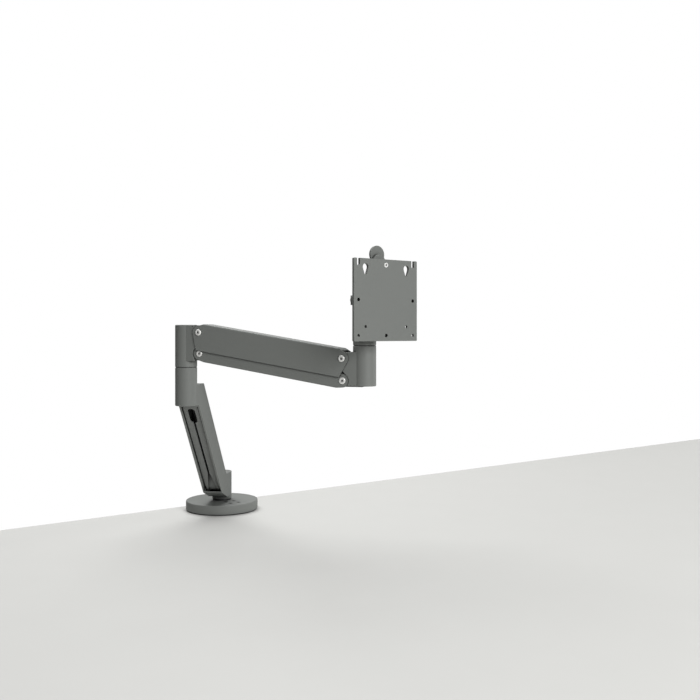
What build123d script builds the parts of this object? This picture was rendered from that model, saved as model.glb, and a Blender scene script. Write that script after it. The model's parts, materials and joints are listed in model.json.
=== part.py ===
from build123d import *
import math
import os

# Desk-edge monitor arm in millimetres and degrees.
# The origin is the centre of the base's underside on the desk, +Z is up,
# +Y points off the desk's back edge and the plate faces -Y.

# Where the links stand
lower_reach = 198.9
lower_yaw = 224.5
link_length = 235.0
arm_yaw = -55.4
arm_pitch = -9.3

# Barrels, spindles and their bearings
barrel_radius = 17.0
barrel_edge = 0.8
rim_tolerance = 0.001
spindle_radius = 8.0
bush_wall = 1.95
running_clearance = 0.05
seat_clearance = 0.02
free_clearance = 0.2
bush_length = 16.0
bush_flange_radius = 12.5
bush_flange = 1.5
cap_radius = 13.0
cap_thickness = 2.5
cap_skirt = 2.0
retainer_radius = 12.0
retainer_thickness = 2.0
end_play = 0.1
retaining_head_radius = 7.0
retaining_head = 3.0
screw_head_gap = 0.4
retaining_shank_radius = 4.0
retaining_shank = 18.0
tapped_depth = 22.0
spindle_chamfer = 0.8
socket_radius = 2.5
socket_depth = 1.8
retaining_head_edge = 0.6
cap_edge = 0.4
cap_skirt_wall = 1.2
cut_over = 1.0

# Base and desk clamp
disc_radius = 63.25
disc_top = 17.5
disc_edge = 2.0
disc_under_edge = 0.7
pad_thickness = 1.5
pad_inset = 1.5
bracket_thickness = 5.0
bracket_width = 60.0
bracket_front = 54.0
bracket_bend = 7.0
edge_gap = 0.75
desk_thickness = 25.0
clamp_depth = 90.0
jaw_length = 76.0
jaw_tip_width = 40.0
jaw_tip_round = 13.0
boss_radius = 13.0
boss_height = 12.0
clamp_axis_back = 38.0
clamp_screw_radius = 5.0
clamp_tip_radius = 4.0
clamp_pad_radius = 21.0
clamp_pad_plate = 5.0
clamp_pad_edge = 1.5
clamp_socket = 2.0
clamp_tip_gap = 0.5
clamp_pad_hub_radius = 9.0
clamp_pad_hub = 6.0
clamp_rubber = 2.0
rubber_inset = 0.5
rubber_edge = 0.6
clamp_head_radius = 8.0
clamp_head = 14.0
clamp_head_edge = 1.0
clamp_raise = 15.0
clamp_head_gap = 2.0
handle_radius = 3.0
handle_length = 80.0
handle_ball_radius = 5.0
flange_radius = 18.0
flange_flat = 15.0
flange_thickness = 4.0
disc_screw_across = 8.0
disc_screw_rows = (-44.0, -28.0)
disc_screw_radius = 2.0
disc_screw_head_radius = 3.8
disc_screw_countersink = 2.0
disc_screw_tip_gap = 0.5
disc_socket_radius = 1.6
disc_socket_depth = 1.5

# Lower link
thrust_washer = 2.0
thrust_washer_radius = 16.5
base_barrel_height = 48.0
base_flat = 30.5
heel = (56.0, 38.5)
heel_round = 7.0
heel_throat = (24.0, 26.5)
elbow_barrel_bottom = 200.4
elbow_barrel_height = 59.9
elbow_flat = 37.5
elbow_flat_drop = 26.7
elbow_throat = 13.3
shoulder_round = 6.0
lower_wall = 3.2
lower_web = 3.5
floor_rise = 6.4
sill_run = 3.4
cavity_over = 12.8
barrel_cover = 2.0
elbow_wall = 5.0
spindle_flange_radius = 11.0
spindle_flange = 3.0
plug_thickness = 2.5
plug_edge = 0.5
cover_recess = 2.0
foot_recess = 5.0
cover_thickness = 2.2
cover_gap = 1.6
cover_corner = 3.0
cover_skirt = 6.0
cover_skirt_wall = 1.5
cover_skirt_inset = 4.0
cover_start = 1.0
cover_end_gap = 1.5
cover_hole_width = 12.2
cover_hole_length = 32.0
cover_hole_end = 4.9
cover_slit = 3.5
cover_flare_width = 17.0
cover_flare_length = 41.8
scoop_depth = 7.0
scoop_foot = 1.6
scoop_wall = 1.4
foot_narrowing = 1.2
narrow_run = 24.0
foot_thinning = 2.0
thinning_depth = 16.0
lug_count = 3
lug_length = 8.0
lug_height = 1.5

# Knuckles and the parallel links
seam_washer = 0.6
seam_washer_radius = 16.2
pivot_offset = 30.0
pivot_spacing = 32.5
knuckle_height = 65.8
knuckle_top_above_pivot = 11.9
bracket_drop = 11.3
ear_inner = 7.0
lower_ear = 12.2
upper_ear = 15.2
ear_nose = 9.0
upper_ear_start = 15.5
fork_clearance = 10.5
swing_room = 0.5
cheek_back = 8.2
highest_lift = 45.0
fork_slot_over = 5.0
slot_start = 15.5
shelf_depth = 14.0
shelf_end = 26.0
top_wall_inner = 15.3
top_wall = 1.7
top_end_radius = 10.0
top_rise = 14.0
top_skirt = 27.7
top_edge_round = 2.6
web_setback = 7.0
web_lip_end = 2.2
under_wall_inner = 12.3
under_wall = 1.6
under_end_radius = 10.0
under_depth = 12.2
under_setback = 9.0
under_edge_round = 2.5
pivot_shoulder_radius = 3.5
pivot_head_radius = 5.0
pivot_shank_radius = 2.5
pivot_shank_end = 7.6
shank_tip_gap = 0.5
wall_play = 0.1
pivot_head_edge = 0.5
pivot_socket_radius = 2.0
upper_head = 2.0
lower_head = 1.1
pivot_socket_depth = 0.8
head_barrel_height = 59.2
head_drop = 40.5
head_bracket_rise = 9.4

# Gas spring and its adjuster
spring_foot = (1.0, -14.0)
anchor_set_back = 45.0
anchor_drop = 4.0
anchor_radius = 3.0
eye_half = 3.0
eye_radius = 6.5
foot_pin_radius = 3.0
neck_radius = 4.5
tube_edge = 1.0
tube_start = 22.0
tube_radius = 9.0
tube_bore_radius = 7.5
tube_length = 96.0
tube_cap = 6.0
gland_length = 8.0
rod_radius = 4.0
piston_length = 10.0
piston_place = 69.0
rod_end_gap = 2.0
rod_eye_radius = 11.0
rod_eye_half = 5.0
rod_slot_play = 1.4
rod_slot_height = 7.0
adjuster_x = 20.0
adjuster_radius = 3.0
adjuster_head_radius = 5.0
adjuster_head = 5.0
adjuster_sink = 1.0
adjuster_head_edge = 0.5
adjuster_socket_depth = 3.0
adjuster_tail = 40.0
nut_half = 6.8
nut_height = 12.0
nut_gap = 0.3
eye_room = 0.5

# Swivel head, tilt and plate
swivel_barrel_height = 54.0
swivel_depth = 34.0
tilt_height = 64.3
tilt_forward = 27.6
tilt_tube_radius = 12.0
tilt_tube_half = 31.6
swivel_crown = 3.0
neck_width = 30.0
neck_start = 18.9
neck_rise = 7.2
neck_drop = 4.0
tilt_axle_radius = 5.0
friction_washer = 1.4
friction_washer_radius = 9.0
washer_gap = 0.1
axle_end = 2.0
axle_edge = 0.8
tilt_ear = 3.0
tilt_ear_radius = 9.5
carrier_half_height = 22.0
carrier_half_width = 54.0
tongue_half = 12.0
tongue_reach = 56.0
carrier_thickness = 3.0
carrier_corner = 2.0
ear_root_inset = 3.0
tilt_nut_across = 13.0
tilt_nut = 6.5
plate_front = 22.0
plate_size = 116.0
plate_thickness = 4.0
plate_corner = 1.5
vesa_large = 100.0
vesa_small = 75.0
vesa_hole_radius = 2.25
vesa_slot_width = 5.2
keyhole_radius = 5.0
keyhole_rise = 8.5
side_hole_radius = 2.5
plate_screw_head_radius = 3.5
plate_screw_sink = 1.5
plate_socket_radius = 1.5
plate_socket_depth = 1.2
shelf_half = 14.0
shelf_rise = 29.0
shelf_back = 6.0
latch_set_back = 21.6
latch_thickness = 3.0
latch_stem_half = 8.0
latch_neck_half = 11.0
latch_foot = 15.5
latch_rest_gap = 0.05
latch_tab_rise = 66.4
latch_tab_radius = 12.8
latch_boss_rise = 55.6
latch_boss_radius = 11.0
latch_boss_depth = 5.6
latch_boss_round = 1.5
latch_travel = 6.0
stop_pin_radius = 2.0
stop_pin_half = 5.5
grub_radius = 3.0
grub_sink = 1.5
grub_socket_radius = 1.6
grub_socket_depth = 2.5

# Places worked out from the values above
base_barrel_bottom = disc_top + thrust_washer
base_barrel_top = base_barrel_bottom + base_barrel_height
elbow_barrel_top = elbow_barrel_bottom + elbow_barrel_height
knuckle_bottom = elbow_barrel_top + seam_washer
knuckle_top = knuckle_bottom + knuckle_height
upper_pivot = knuckle_top - knuckle_top_above_pivot
lower_pivot = upper_pivot - pivot_spacing
pitch = math.radians(arm_pitch)
far_rise = link_length * math.sin(pitch)
head_reach = 2 * pivot_offset + link_length * math.cos(pitch)
far_pivot = upper_pivot + far_rise
head_bottom = far_pivot - head_drop
head_top = head_bottom + head_barrel_height
swivel_bottom = head_top + seam_washer
swivel_top = swivel_bottom + swivel_barrel_height
tilt_z = swivel_bottom + tilt_height
bush_radius = spindle_radius + running_clearance + bush_wall
anchor_place = (link_length - anchor_set_back, -anchor_drop)
bracket_top = pad_thickness + bracket_thickness
flange_top = bracket_top + flange_thickness
clamp_top = -desk_thickness
jaw_top = -clamp_depth + bracket_thickness

lower_frame = Rot(0, 0, lower_yaw)
elbow_x = lower_reach * math.cos(math.radians(lower_yaw))
elbow_y = lower_reach * math.sin(math.radians(lower_yaw))
elbow_frame = Pos(elbow_x, elbow_y, 0) * Rot(0, 0, arm_yaw)
head_frame = elbow_frame * Pos(head_reach, 0, 0)
head_x = elbow_x + head_reach * math.cos(math.radians(arm_yaw))
head_y = elbow_y + head_reach * math.sin(math.radians(arm_yaw))
swivel_frame = Pos(head_x, head_y, 0)
tilt_frame = Pos(head_x, head_y - tilt_forward, tilt_z)
top_link_frame = elbow_frame * Pos(pivot_offset, 0, upper_pivot) * Rot(0, -arm_pitch, 0)
under_link_frame = elbow_frame * Pos(pivot_offset, 0, lower_pivot) * Rot(0, -arm_pitch, 0)


def post(radius, low, high, x=0.0, y=0.0):
    return Pos(x, y, (low + high) / 2) * Cylinder(radius, high - low)


def cross_pin(radius, low, high, x=0.0, z=0.0):
    return Pos(x, (low + high) / 2, z) * Rot(90, 0, 0) * Cylinder(radius, high - low)


def axle(radius, low, high, y=0.0, z=0.0):
    return Pos((low + high) / 2, y, z) * Rot(0, 90, 0) * Cylinder(radius, high - low)


def block(x_range, y_range, z_range):
    sizes = [high - low for low, high in (x_range, y_range, z_range)]
    middle = [(high + low) / 2 for low, high in (x_range, y_range, z_range)]
    return Pos(*middle) * Box(*sizes)


def circle_edge(centre, radius, seam_towards):
    # The seam points into the outline, so that the hull keeps each arc whole.
    turn = math.degrees(math.atan2(seam_towards[1] - centre[1], seam_towards[0] - centre[0]))
    return (Pos(*centre) * Rot(0, 0, turn) * Circle(radius)).edge()


def segment(start, end):
    return Edge.make_line(start, end)


def hull(*edges):
    return make_hull(list(edges))


def side_slab(outline, low, high):
    # Solid of a side outline, drawn as x and z, between two stations across the arm.
    return extrude(Plane.XZ.offset(-high) * outline, amount=high - low)


def both_sides(solid):
    return solid + mirror(solid, about=Plane.XZ)


def face_slab(outline, front, back):
    # Solid of an outline seen from the front, drawn as x and z, between two depths along Y.
    return extrude(Plane.XZ.offset(-back) * outline, amount=back - front)


def outline_of(points):
    return make_face(Polyline(*points, close=True))


def corner_near(outline, place):
    return outline.vertices().sort_by_distance((place[0], place[1], 0))[0]


def meet(start, run, other, other_run):
    # Where two lines cross, each given by a point and a direction.
    across = run[0] * other_run[1] - run[1] * other_run[0]
    gap = (other[0] - start[0], other[1] - start[1])
    share = (gap[0] * other_run[1] - gap[1] * other_run[0]) / across
    return (start[0] + share * run[0], start[1] + share * run[1])


def rims_at(solid, height):
    near = (height - rim_tolerance, height + rim_tolerance)
    return solid.edges().filter_by(GeomType.CIRCLE).filter_by_position(Axis.Z, *near)


def soften_rims(solid, heights, amount):
    edges = ShapeList()
    for height in heights:
        edges += rims_at(solid, height)
    return chamfer(edges, amount)


def plain_bush(low, high):
    return post(bush_radius, low, high) - post(spindle_radius + running_clearance, low, high)


def flanged_bush(low, high, flange_low, flange_high):
    flange = post(bush_flange_radius, flange_low, flange_high)
    bore = post(spindle_radius + running_clearance, min(low, flange_low), max(high, flange_high))
    return post(bush_radius, low, high) + flange - bore


def tapped_hole(end, depth_down):
    low, high = sorted((end, end - depth_down))
    return post(retaining_shank_radius, low, high)


def retaining_washer(face, up):
    low, high = sorted((face, face + up * retainer_thickness))
    return post(retainer_radius, low, high) - post(retaining_shank_radius + free_clearance, low, high)


def retaining_screw(face, up):
    # Low socket head on the washer, with its shank down the spindle's tapped hole.
    head_start = face + up * retainer_thickness
    low, high = sorted((head_start, head_start + up * retaining_head))
    top = head_start + up * retaining_head
    head = chamfer(rims_at(post(retaining_head_radius, low, high), top), retaining_head_edge)
    shank_low, shank_high = sorted((head_start, head_start - up * (retainer_thickness + retaining_shank)))
    key_low, key_high = sorted((top, top - up * socket_depth))
    key = Pos(0, 0, key_low) * extrude(RegularPolygon(socket_radius, 6), key_high - key_low)
    return head + post(retaining_shank_radius - seat_clearance, shank_low, shank_high) - key


def barrel_cap(face, up):
    # Disc flush with the barrel's end, with a snap skirt on its inner side.
    low, high = sorted((face, face - up * cap_thickness))
    disc = post(cap_radius - seat_clearance, low, high)
    disc = chamfer(rims_at(disc, face), cap_edge)
    inner = face - up * cap_thickness
    skirt_low, skirt_high = sorted((inner, inner - up * cap_skirt))
    outer = post(cap_radius - seat_clearance, skirt_low, skirt_high)
    skirt = outer - post(cap_radius - seat_clearance - cap_skirt_wall, skirt_low, skirt_high)
    return disc + skirt


def seam_ring(low, thickness, radius):
    return post(radius, low, low + thickness) - post(spindle_radius + free_clearance, low, low + thickness)


# Base and desk clamp
def disc_screw_places():
    return [(x, y) for x in (-disc_screw_across, disc_screw_across) for y in disc_screw_rows]


def spindle_flange_shape(extra, low, high):
    round_part = post(flange_radius + extra, low, high)
    flats = (-flange_flat - extra, flange_flat + extra)
    return round_part & block(flats, (-disc_radius, disc_radius), (low, high))


def make_base_disc():
    disc = post(disc_radius, pad_thickness, disc_top)
    disc = fillet(rims_at(disc, disc_top), disc_edge)
    disc = chamfer(rims_at(disc, pad_thickness), disc_under_edge)
    half = bracket_width / 2 + free_clearance
    front = -bracket_front - free_clearance
    recess = block((-half, half), (front, disc_radius + cut_over), (pad_thickness, bracket_top))
    disc -= recess
    disc -= spindle_flange_shape(free_clearance, bracket_top, flange_top)
    disc -= post(spindle_radius + free_clearance, flange_top, disc_top)
    for x, y in disc_screw_places():
        disc -= post(disc_screw_radius + free_clearance, bracket_top, disc_top, x, y)
        disc -= countersink(x, y, free_clearance)
    return disc


def countersink(x, y, extra):
    low = disc_top - disc_screw_countersink
    cone = Cone(disc_screw_radius + extra, disc_screw_head_radius + extra, disc_screw_countersink)
    return Pos(x, y, (low + disc_top) / 2) * cone


def make_base_pad():
    return post(disc_radius - pad_inset, 0, pad_thickness)


def make_disc_screws():
    screws = []
    for x, y in disc_screw_places():
        screw = countersink(x, y, 0)
        screw += post(disc_screw_radius, bracket_top, disc_top - disc_screw_countersink, x, y)
        screw += post(disc_screw_radius, pad_thickness + disc_screw_tip_gap, bracket_top, x, y)
        key = extrude(RegularPolygon(disc_socket_radius, 6), disc_socket_depth)
        screws.append(screw - Pos(x, y, disc_top - disc_socket_depth) * key)
    return screws


def make_clamp_bracket():
    # Folded steel strip: a plate under the disc, a drop behind the desk edge and a lower jaw.
    inner = disc_radius + edge_gap
    outer = inner + bracket_thickness
    jaw_tip = outer - jaw_length
    points = [(-bracket_front, pad_thickness), (inner, pad_thickness), (inner, jaw_top), (jaw_tip, jaw_top)]
    points += [(jaw_tip, -clamp_depth), (outer, -clamp_depth)]
    points += [(outer, bracket_top), (-bracket_front, bracket_top)]
    outline = outline_of(points)
    outline = fillet([corner_near(outline, points[5]), corner_near(outline, points[6])], bracket_bend)
    inner_bends = [corner_near(outline, points[1]), corner_near(outline, points[2])]
    outline = fillet(inner_bends, bracket_bend - bracket_thickness)
    half = bracket_width / 2
    strip = extrude(Plane.YZ.offset(-half) * outline, amount=bracket_width)
    tip = jaw_tip_width / 2
    root = inner - cut_over
    jaw_zone = block((-half, half), (jaw_tip - cut_over, root), (-clamp_depth - cut_over, jaw_top + cut_over))
    taper_points = [(-half, root), (half, root), (tip, jaw_tip), (-tip, jaw_tip)]
    taper = outline_of(taper_points)
    taper = fillet([corner_near(taper, taper_points[2]), corner_near(taper, taper_points[3])], jaw_tip_round)
    keep = Pos(0, 0, -clamp_depth - cut_over) * extrude(taper, bracket_thickness + 2 * cut_over)
    strip = strip - (jaw_zone - keep)
    strip += post(boss_radius, jaw_top, jaw_top + boss_height, 0, clamp_axis_back)
    bore_radius = clamp_screw_radius + running_clearance
    strip -= post(bore_radius, -clamp_depth, jaw_top + boss_height, 0, clamp_axis_back)
    for x, y in disc_screw_places():
        strip -= post(disc_screw_radius + seat_clearance, pad_thickness, bracket_top, x, y)
    return strip


def clamp_levels():
    rubber_low = clamp_top - clamp_rubber
    plate_low = rubber_low - clamp_pad_plate
    hub_low = plate_low - clamp_pad_hub
    head_top = -clamp_depth - clamp_raise - clamp_head_gap
    return rubber_low, plate_low, hub_low, head_top


def make_clamp_pad():
    rubber_low, plate_low, hub_low, _ = clamp_levels()
    plate = post(clamp_pad_radius, plate_low, rubber_low, 0, clamp_axis_back)
    plate = chamfer(rims_at(plate, plate_low), clamp_pad_edge)
    hub = post(clamp_pad_hub_radius, hub_low, plate_low, 0, clamp_axis_back)
    socket = post(clamp_tip_radius + running_clearance, hub_low, plate_low + clamp_socket, 0, clamp_axis_back)
    return plate + hub - socket


def make_clamp_rubber():
    rubber_low = clamp_levels()[0]
    pad = post(clamp_pad_radius - rubber_inset, rubber_low, clamp_top, 0, clamp_axis_back)
    return chamfer(rims_at(pad, clamp_top), rubber_edge)


def make_clamp_screw():
    _, plate_low, hub_low, head_top_z = clamp_levels()
    shank = post(clamp_screw_radius, head_top_z, hub_low, 0, clamp_axis_back)
    tip_high = plate_low + clamp_socket - clamp_tip_gap
    tip = post(clamp_tip_radius, hub_low, tip_high, 0, clamp_axis_back)
    head = post(clamp_head_radius, head_top_z - clamp_head, head_top_z, 0, clamp_axis_back)
    head = chamfer(head.edges().filter_by(GeomType.CIRCLE), clamp_head_edge)
    bar_z = head_top_z - clamp_head / 2
    ends = (-clamp_head_radius, clamp_head_radius)
    hole = axle(handle_radius + seat_clearance, *ends, clamp_axis_back, bar_z)
    return shank + tip + head - hole


def make_clamp_handle():
    bar_z = clamp_levels()[3] - clamp_head / 2
    half = handle_length / 2
    bar = axle(handle_radius, -half, half, clamp_axis_back, bar_z)
    for end in (-half, half):
        bar += Pos(end, clamp_axis_back, bar_z) * Sphere(handle_ball_radius)
    return bar


def base_levels():
    # Where the upper bush, its flange and the spindle's end lie in the base barrel.
    cap_inner = base_barrel_top - cap_thickness - cap_skirt
    spindle_end = cap_inner - retaining_head - retainer_thickness - screw_head_gap
    flange_high = spindle_end - end_play
    return spindle_end, flange_high, flange_high - bush_flange


def make_base_spindle():
    spindle_end = base_levels()[0]
    body = spindle_flange_shape(0, bracket_top, flange_top) + post(spindle_radius, flange_top, spindle_end)
    body = chamfer(rims_at(body, spindle_end), spindle_chamfer)
    return body - tapped_hole(spindle_end, tapped_depth)


# Lower link
def lower_slope():
    # Heel and throat of the open underside, and the direction between them.
    start = heel
    end = (lower_reach - elbow_throat, elbow_barrel_bottom)
    length = math.hypot(end[0] - start[0], end[1] - start[1])
    run = ((end[0] - start[0]) / length, (end[1] - start[1]) / length)
    return start, end, run


def lower_outline():
    start, end, _ = lower_slope()
    shoulder_z = elbow_barrel_top - elbow_flat_drop
    points = [(0, heel_throat[1]), heel_throat, start, end, (lower_reach, elbow_barrel_bottom)]
    points += [(lower_reach, shoulder_z), (lower_reach - elbow_flat, shoulder_z)]
    points += [(base_flat, base_barrel_top), (0, base_barrel_top)]
    outline = outline_of(points)
    outline = fillet(corner_near(outline, start), heel_round)
    outline = fillet(corner_near(outline, points[6]), shoulder_round)
    return fillet(corner_near(outline, points[7]), shoulder_round)


def cavity_end():
    # The hollow stops at a wall in front of the elbow spindle's seat.
    return lower_reach - spindle_flange_radius - elbow_wall


def lower_cavity():
    start, _, run = lower_slope()
    outward = (run[1], -run[0])
    shoulder_z = elbow_barrel_top - elbow_flat_drop
    top_start = (base_flat, base_barrel_top)
    top_run = (lower_reach - elbow_flat - base_flat, shoulder_z - base_barrel_top)
    top_length = math.hypot(*top_run)
    inward = (top_run[1] / top_length, -top_run[0] / top_length)
    inner_start = (top_start[0] + lower_web * inward[0], top_start[1] + lower_web * inward[1])
    near = barrel_radius + barrel_cover
    far = cavity_end()
    first = meet(inner_start, top_run, (0, base_barrel_top - lower_web), (1, 0))
    second = meet(inner_start, top_run, (0, shoulder_z - lower_web), (1, 0))
    throat = meet(start, run, (far, 0), (0, 1))
    sill = (start[0] + run[0] * sill_run, start[1] + run[1] * sill_run)
    points = [(near, base_barrel_top - lower_web), first, second, (far, shoulder_z - lower_web), throat]
    points += [(throat[0] + outward[0] * cavity_over, throat[1] + outward[1] * cavity_over)]
    points += [(sill[0] + outward[0] * cavity_over, sill[1] + outward[1] * cavity_over), sill]
    floor = heel_throat[1] + floor_rise
    points += [(heel_throat[0] + lower_wall, floor), (near, floor)]
    return outline_of(points)


def foot_relief(inner):
    # The walls thin out beside the cover's narrow foot.
    start, _, run = lower_slope()
    outer = (run[1], 0, -run[0])
    plane = Plane(origin=(start[0], 0, start[1]), x_dir=(run[0], 0, run[1]), z_dir=outer)
    wedge = outline_of([(sill_run, 0), (narrow_run, inner), (sill_run, inner + foot_thinning)])
    wedge = Pos(0, 0, -thinning_depth) * extrude(wedge, thinning_depth + cut_over)
    return plane * (wedge + mirror(wedge, about=Plane.XZ))


def make_lower_link():
    half = barrel_radius
    beam = side_slab(lower_outline(), -half, half)
    # The beam's ends follow the barrels.
    ends = block((-half, 0), (-half, half), (0, elbow_barrel_top))
    beam = beam - ends
    base_barrel = post(half, base_barrel_bottom, base_barrel_top)
    base_barrel = soften_rims(base_barrel, [base_barrel_bottom], barrel_edge)
    elbow_barrel = post(half, elbow_barrel_bottom, elbow_barrel_top, lower_reach)
    elbow_barrel = soften_rims(elbow_barrel, [elbow_barrel_bottom, elbow_barrel_top], barrel_edge)
    link = beam + base_barrel + elbow_barrel
    inner = half - lower_wall
    link -= side_slab(lower_cavity(), -inner, inner) + foot_relief(inner)
    bush_flange_low = base_levels()[2]
    link -= post(bush_radius + seat_clearance, base_barrel_bottom, bush_flange_low)
    link -= post(cap_radius, bush_flange_low, base_barrel_top)
    flange_seat = elbow_barrel_bottom + plug_thickness + spindle_flange
    link -= post(spindle_radius + seat_clearance, flange_seat, elbow_barrel_top, lower_reach)
    link -= post(spindle_flange_radius + seat_clearance, elbow_barrel_bottom, flange_seat, lower_reach)
    return link


def cover_run():
    # Where the open underside starts, its direction and its length up to the hollow's end.
    start, _, run = lower_slope()
    throat = meet(start, run, (cavity_end(), 0), (0, 1))
    return start, run, math.hypot(throat[0] - start[0], throat[1] - start[1])


def cover_plane():
    # The cover's face lies deeper at its foot than at the cable hole.
    start, run, length = cover_run()
    outward = (run[1], -run[0])
    rise = (foot_recess - cover_recess) / length
    size = math.hypot(1, rise)
    along = [(run[i] + outward[i] * rise) / size for i in (0, 1)]
    origin = [start[i] - outward[i] * foot_recess for i in (0, 1)]
    face = (along[1], 0, -along[0])
    return Plane(origin=(origin[0], 0, origin[1]), x_dir=(along[0], 0, along[1]), z_dir=face)


def flare_outline(first, last, extra):
    wide, narrow = cover_flare_width / 2 + extra, cover_slit / 2 + extra
    return outline_of([(first, -wide), (last, -narrow), (last, narrow), (first, wide)])


def scoop_profile(first, last, top, below):
    # Side view of the cable scoop, shallow at the foot and deep where the slit starts.
    run = cover_flare_length
    slope = (scoop_depth - scoop_foot) / run
    first_low = scoop_foot + slope * (first - cover_start) + below
    last_low = scoop_foot + slope * (last - cover_start) + below
    return outline_of([(first, top), (last, top), (last, -last_low), (first, -first_low)])


def make_cable_scoop():
    slit_start = cover_start + cover_flare_length
    deep = 2 * (scoop_depth + scoop_wall)
    half = cover_flare_width
    shell = side_slab(scoop_profile(cover_start, slit_start, -cover_thickness / 2, scoop_wall), -half, half)
    shell &= Pos(0, 0, -deep) * extrude(flare_outline(cover_start, slit_start, scoop_wall), 2 * deep)
    over = cut_over
    cut = side_slab(scoop_profile(cover_start - over, slit_start + over, over, 0), -half, half)
    cut &= Pos(0, 0, -deep) * extrude(flare_outline(cover_start - over, slit_start + over, 0), 2 * deep)
    return shell, cut


def make_lower_cover():
    last = cover_run()[2] - cover_end_gap
    half = barrel_radius - lower_wall - cover_gap
    middle = (cover_start + last) / 2
    span = last - cover_start
    sheet = Pos(middle, 0) * RectangleRounded(span, 2 * half, cover_corner)
    for side in (-1, 1):
        first = cover_start - cut_over
        sheet -= outline_of([(first, side * (half - foot_narrowing)), (cover_start + narrow_run, side * half),
                             (first, side * (half + cut_over))])
    hole_middle = last - cover_hole_end - cover_hole_length / 2
    hole = Pos(hole_middle, 0) * SlotOverall(cover_hole_length, cover_hole_width)
    slit_start = cover_start + cover_flare_length
    slit_span = hole_middle - slit_start
    slit = Pos(slit_start + slit_span / 2, 0) * Rectangle(slit_span, cover_slit)
    level = -cover_thickness
    plate = Pos(0, 0, level) * extrude(sheet - (hole + slit), cover_thickness)
    for side in (-1, 1):
        edge = side * half
        inside = edge - side * cover_skirt_wall
        skirt_x = (cover_start + max(cover_skirt_inset, narrow_run), last - cover_skirt_inset)
        plate += block(skirt_x, tuple(sorted((edge, inside))), (level - cover_skirt, level))
        outer = edge + side * (cover_gap - running_clearance)
        for lug in range(lug_count):
            centre = cover_start + span * (lug + 0.5) / lug_count
            lug_x = (centre - lug_length / 2, centre + lug_length / 2)
            lug_z = (level - cover_skirt, level - cover_skirt + lug_height)
            plate += block(lug_x, tuple(sorted((edge, outer))), lug_z)
    shell, cut = make_cable_scoop()
    return cover_plane() * (plate + shell - cut)


def elbow_levels():
    cap_inner = knuckle_top - cap_thickness - cap_skirt
    spindle_end = cap_inner - retaining_head - retainer_thickness - screw_head_gap
    flange_high = spindle_end - end_play
    return spindle_end, flange_high, flange_high - bush_flange


def make_elbow_spindle():
    spindle_end = elbow_levels()[0]
    low = elbow_barrel_bottom + plug_thickness
    body = post(spindle_flange_radius, low, low + spindle_flange) + post(spindle_radius, low, spindle_end)
    body = chamfer(rims_at(body, spindle_end), spindle_chamfer)
    return body - tapped_hole(spindle_end, tapped_depth)


def make_elbow_plug():
    plug = post(spindle_flange_radius, elbow_barrel_bottom, elbow_barrel_bottom + plug_thickness)
    return chamfer(rims_at(plug, elbow_barrel_bottom), plug_edge)


# Knuckles: a barrel with a forked bracket towards the pivots, drawn with the pivots on +X
def fork_bracket(upper, lower, low, high):
    # The root narrows to the lower ears in front of the links' ends. Its cheeks are pocketed round the
    # under link's end, and lean forward above it as far as that link lifts.
    root = pivot_offset - fork_clearance
    shoulder = root - (upper_ear - lower_ear)
    half_plan = [(0, -upper_ear), (shoulder, -upper_ear), (root, -lower_ear)]
    plan = outline_of(half_plan + [(x, -y) for x, y in reversed(half_plan)])
    body = Pos(0, 0, low) * extrude(plan, high - low)
    pivots = [(pivot_offset, upper), (pivot_offset, lower)]
    nose = hull(*(circle_edge(p, ear_nose, (0, (upper + lower) / 2)) for p in pivots),
                segment((0, lower - ear_nose), (0, upper + ear_nose)))
    body += side_slab(nose, -lower_ear, lower_ear)
    shoulder_z = lower + upper_ear_start
    room, lift = under_end_radius + swing_room, math.radians(highest_lift)
    knee = lower + room / math.cos(lift) - cheek_back * math.tan(lift)
    tip = pivot_offset - cheek_back + (shoulder_z - knee) / math.tan(lift)
    cheek = outline_of([(0, low), (pivot_offset - cheek_back, low), (pivot_offset - cheek_back, knee),
                        (tip, shoulder_z), (0, shoulder_z)])
    pocket = both_sides(cross_pin(room, lower_ear, upper_ear + cut_over, pivot_offset, lower))
    body += side_slab(cheek, -upper_ear, upper_ear) - pocket
    shoulder = hull(circle_edge(pivots[0], ear_nose, (0, shoulder_z)),
                    segment((0, shoulder_z), (pivot_offset, shoulder_z)),
                    segment((0, shoulder_z), (0, upper + ear_nose)))
    return body + side_slab(shoulder, -upper_ear, upper_ear)


def pivot_holes(x, upper, lower):
    end = pivot_shank_end - shank_tip_gap
    holes = cross_pin(pivot_shank_radius + seat_clearance, end, upper_ear, x, upper)
    holes += cross_pin(pivot_shank_radius + seat_clearance, end, lower_ear, x, lower)
    return both_sides(holes)


def make_elbow_knuckle():
    barrel = post(barrel_radius, knuckle_bottom, knuckle_top)
    barrel = soften_rims(barrel, [knuckle_bottom, knuckle_top], barrel_edge)
    bracket = fork_bracket(upper_pivot, lower_pivot, lower_pivot - bracket_drop, knuckle_top - barrel_edge)
    shelf_x = (pivot_offset - fork_clearance, shelf_end)
    shelf_low = knuckle_top - shelf_depth
    bracket += block(shelf_x, (-upper_ear, upper_ear), (shelf_low, knuckle_top - barrel_edge))
    knuckle = barrel + bracket
    gap = (-ear_inner, ear_inner)
    slot = block((slot_start, 2 * pivot_offset), gap, (knuckle_bottom, shelf_low))
    nose_slot = block((shelf_end, 2 * pivot_offset), gap, (knuckle_bottom, knuckle_top + cut_over))
    knuckle -= slot + nose_slot
    knuckle -= post(adjuster_radius + free_clearance, shelf_low, knuckle_top, adjuster_x)
    knuckle -= post(adjuster_head_radius + free_clearance, adjuster_seat(), knuckle_top, adjuster_x)
    knuckle -= pivot_holes(pivot_offset, upper_pivot, lower_pivot)
    _, _, flange_low = elbow_levels()
    knuckle -= post(bush_radius + seat_clearance, knuckle_bottom, flange_low)
    knuckle -= post(cap_radius, flange_low, knuckle_top)
    return knuckle


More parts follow.
